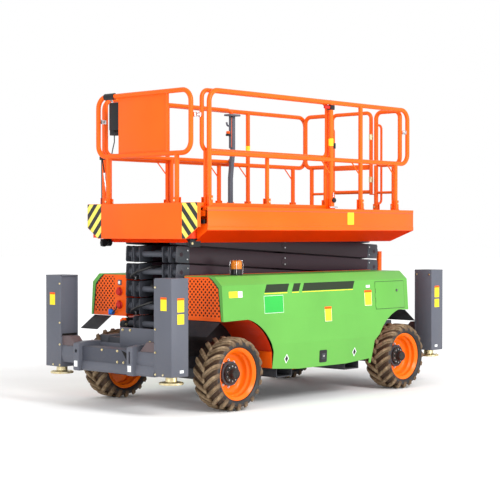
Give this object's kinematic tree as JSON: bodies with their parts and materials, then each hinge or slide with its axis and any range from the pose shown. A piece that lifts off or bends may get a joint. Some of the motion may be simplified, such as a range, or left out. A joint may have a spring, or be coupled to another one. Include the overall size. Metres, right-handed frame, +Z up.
{
  "type": "self-propelled rough-terrain scissor lift",
  "caption": "Four-wheeled rough-terrain scissor lift with a folding arm stack, roll-out deck with guard rails, side bonnets and outriggers.",
  "frame": {"origin": "on the ground under the middle of the machine: centre of the bounding box's bottom face", "axes": "+X forward, towards the roll-out deck and steered wheels; +Y to the machine's left; +Z up"},
  "size_m": [4.08, 1.79, 2.878],
  "materials": {
    "orange": "gloss paint",
    "green": "satin paint",
    "grey": "satin paint",
    "arm": "satin paint",
    "zinc": "yellow zinc plate",
    "chrome": "hard chrome",
    "tyre": "dusty rubber",
    "black": "satin black",
    "amber": "clear amber"
  },
  "bodies": {
    "chassis": {"chassis_frame": "grey", "front_axle": "grey", "rear_axle": "grey", "front_outrigger_frame": "grey", "rear_outrigger_frame": "grey", "rear_ladder": "orange", "left_pod": "orange", "right_pod": "orange", "tank_block": "black", "engine_block": "black"},
    "left_cover": {"left_cover": "green", "beacon": "amber"},
    "right_cover": {"right_cover": "green"},
    "left_knuckle": {"front_left_knuckle": "black"},
    "right_knuckle": {"front_right_knuckle": "black"},
    "steering_rod": {"steering_rod": "chrome"},
    "front_left_wheel": {"front_left_wheel": "orange", "front_left_tyre": "tyre"},
    "front_left_jack_leg": {"front_left_foot": "zinc"},
    "front_right_wheel": {"front_right_wheel": "orange", "front_right_tyre": "tyre"},
    "front_right_jack_leg": {"front_right_foot": "zinc"},
    "rear_left_wheel": {"rear_left_wheel": "orange", "rear_left_tyre": "tyre"},
    "rear_left_jack_leg": {"rear_left_foot": "zinc"},
    "rear_right_wheel": {"rear_right_wheel": "orange", "rear_right_tyre": "tyre"},
    "rear_right_jack_leg": {"rear_right_foot": "zinc"},
    "outer_arms_1": {"outer_arms_1": "arm"},
    "inner_arms_1": {"inner_arms_1": "arm"},
    "outer_arms_2": {"outer_arms_2": "arm"},
    "inner_arms_2": {"inner_arms_2": "arm"},
    "outer_arms_3": {"outer_arms_3": "arm"},
    "inner_arms_3": {"inner_arms_3": "arm"},
    "outer_arms_4": {"outer_arms_4": "arm"},
    "inner_arms_4": {"inner_arms_4": "arm"},
    "outer_arms_5": {"outer_arms_5": "arm"},
    "inner_arms_5": {"inner_arms_5": "arm"},
    "lower_ram_barrel": {"lower_lift_barrel": "black"},
    "lower_ram_rod": {"lower_lift_rod": "chrome"},
    "upper_ram_barrel": {"upper_lift_barrel": "black"},
    "upper_ram_rod": {"upper_lift_rod": "chrome"},
    "platform": {"deck_frame": "orange", "left_rail": "orange", "right_rail": "orange", "rear_left_rail": "orange", "rear_right_rail": "orange"},
    "gate": {"entry_gate": "orange"},
    "extension": {"extension_deck": "orange", "extension_left_rail": "orange", "extension_right_rail": "orange", "front_rail": "orange", "control_box": "black", "control_stand": "grey"}
  },
  "joints": [
    {"name": "fold", "type": "hinge", "parent": "chassis", "child": "outer_arms_1", "pos_m": [-1.45, 0, 0.742], "axis": [0, -1, 0], "range_deg": [0, 47.82]},
    {"name": "cross_1", "type": "hinge", "parent": "outer_arms_1", "child": "inner_arms_1", "pos_m": [-0.03233, 0, 0.82325], "axis": [0, -1, 0], "range_deg": [-95.64, 0]},
    {"name": "link_1", "type": "hinge", "parent": "inner_arms_1", "child": "outer_arms_2", "pos_m": [-1.45, 0, 0.90449], "axis": [0, -1, 0], "range_deg": [0, 95.64]},
    {"name": "cross_2", "type": "hinge", "parent": "outer_arms_2", "child": "inner_arms_2", "pos_m": [-0.03233, 0, 0.98574], "axis": [0, -1, 0], "range_deg": [-95.64, 0]},
    {"name": "link_2", "type": "hinge", "parent": "inner_arms_2", "child": "outer_arms_3", "pos_m": [-1.45, 0, 1.06698], "axis": [0, -1, 0], "range_deg": [0, 95.64]},
    {"name": "cross_3", "type": "hinge", "parent": "outer_arms_3", "child": "inner_arms_3", "pos_m": [-0.03233, 0, 1.14823], "axis": [0, -1, 0], "range_deg": [-95.64, 0]},
    {"name": "link_3", "type": "hinge", "parent": "inner_arms_3", "child": "outer_arms_4", "pos_m": [-1.45, 0, 1.22948], "axis": [0, -1, 0], "range_deg": [0, 95.64]},
    {"name": "cross_4", "type": "hinge", "parent": "outer_arms_4", "child": "inner_arms_4", "pos_m": [-0.03233, 0, 1.31072], "axis": [0, -1, 0], "range_deg": [-95.64, 0]},
    {"name": "link_4", "type": "hinge", "parent": "inner_arms_4", "child": "outer_arms_5", "pos_m": [-1.45, 0, 1.39197], "axis": [0, -1, 0], "range_deg": [0, 95.64]},
    {"name": "cross_5", "type": "hinge", "parent": "outer_arms_5", "child": "inner_arms_5", "pos_m": [-0.03233, 0, 1.47321], "axis": [0, -1, 0], "range_deg": [-95.64, 0]},
    {"name": "deck_level", "type": "hinge", "parent": "inner_arms_5", "child": "platform", "pos_m": [-1.45, 0, 1.55446], "axis": [0, -1, 0], "range_deg": [0, 47.82]},
    {"name": "lower_ram_tilt", "type": "hinge", "parent": "inner_arms_1", "child": "lower_ram_barrel", "pos_m": [0.78633, 0, 0.77633], "axis": [0, -1, 0], "range_deg": [-11.53, 0]},
    {"name": "lower_ram_slide", "type": "slide", "parent": "lower_ram_barrel", "child": "lower_ram_rod", "axis": [-0.9951, 0, 0.0988], "range_m": [0, 0.79301]},
    {"name": "upper_ram_tilt", "type": "hinge", "parent": "inner_arms_3", "child": "upper_ram_barrel", "pos_m": [0.78633, 0, 1.10131], "axis": [0, -1, 0], "range_deg": [-11.53, 0]},
    {"name": "upper_ram_slide", "type": "slide", "parent": "upper_ram_barrel", "child": "upper_ram_rod", "axis": [-0.9951, 0, 0.0988], "range_m": [0, 0.79301]},
    {"name": "extension", "type": "slide", "parent": "platform", "child": "extension", "axis": [1, 0, 0], "range_m": [0, 1.2]},
    {"name": "gate", "type": "hinge", "parent": "platform", "child": "gate", "pos_m": [-1.5, 0.262, 2.4], "axis": [0, 0, 1], "range_deg": [0, 90]},
    {"name": "left_cover", "type": "hinge", "parent": "chassis", "child": "left_cover", "pos_m": [0, 0.392, 1.197], "axis": [1, 0, 0], "range_deg": [0, 50]},
    {"name": "right_cover", "type": "hinge", "parent": "chassis", "child": "right_cover", "pos_m": [0, -0.392, 1.197], "axis": [-1, 0, 0], "range_deg": [0, 50]},
    {"name": "steer", "type": "hinge", "parent": "chassis", "child": "left_knuckle", "pos_m": [1.192, 0.53, 0.33], "axis": [0, 0, 1], "range_deg": [-30, 30]},
    {"name": "steer_right", "type": "hinge", "parent": "chassis", "child": "right_knuckle", "pos_m": [1.192, -0.53, 0.33], "axis": [0, 0, 1], "range_deg": [-30, 30]},
    {"name": "steer_rod_slide", "type": "slide", "parent": "chassis", "child": "steering_rod", "axis": [0, -1, 0], "range_m": [-0.075, 0.075]},
    {"name": "front_left_spin", "type": "hinge", "parent": "left_knuckle", "child": "front_left_wheel", "pos_m": [1.192, 0.7425, 0.33], "axis": [0, 1, 0], "continuous": true},
    {"name": "front_right_spin", "type": "hinge", "parent": "right_knuckle", "child": "front_right_wheel", "pos_m": [1.192, -0.7425, 0.33], "axis": [0, 1, 0], "continuous": true},
    {"name": "rear_left_spin", "type": "hinge", "parent": "chassis", "child": "rear_left_wheel", "pos_m": [-1.272, 0.7425, 0.33], "axis": [0, 1, 0], "continuous": true},
    {"name": "rear_right_spin", "type": "hinge", "parent": "chassis", "child": "rear_right_wheel", "pos_m": [-1.272, -0.7425, 0.33], "axis": [0, 1, 0], "continuous": true},
    {"name": "front_left_jack", "type": "slide", "parent": "chassis", "child": "front_left_jack_leg", "axis": [0, 0, -1], "range_m": [0, 0.4]},
    {"name": "front_right_jack", "type": "slide", "parent": "chassis", "child": "front_right_jack_leg", "axis": [0, 0, -1], "range_m": [0, 0.4]},
    {"name": "rear_left_jack", "type": "slide", "parent": "chassis", "child": "rear_left_jack_leg", "axis": [0, 0, -1], "range_m": [0, 0.4]},
    {"name": "rear_right_jack", "type": "slide", "parent": "chassis", "child": "rear_right_jack_leg", "axis": [0, 0, -1], "range_m": [0, 0.4]}
  ],
  "couplings": [
    {"joint": "cross_1", "follows": "fold", "ratio": -2},
    {"joint": "link_1", "follows": "fold", "ratio": 2},
    {"joint": "cross_2", "follows": "fold", "ratio": -2},
    {"joint": "link_2", "follows": "fold", "ratio": 2},
    {"joint": "cross_3", "follows": "fold", "ratio": -2},
    {"joint": "link_3", "follows": "fold", "ratio": 2},
    {"joint": "cross_4", "follows": "fold", "ratio": -2},
    {"joint": "link_4", "follows": "fold", "ratio": 2},
    {"joint": "cross_5", "follows": "fold", "ratio": -2},
    {"joint": "deck_level", "follows": "fold", "ratio": 1},
    {"joint": "lower_ram_tilt", "follows": "fold", "ratio": -0.24109},
    {"joint": "lower_ram_slide", "follows": "fold", "m_per_rad": 0.95015},
    {"joint": "upper_ram_tilt", "follows": "fold", "ratio": -0.24109},
    {"joint": "upper_ram_slide", "follows": "fold", "m_per_rad": 0.95015},
    {"joint": "steer_right", "follows": "steer", "ratio": 1},
    {"joint": "steer_rod_slide", "follows": "steer", "m_per_rad": 0.1432}
  ]
}
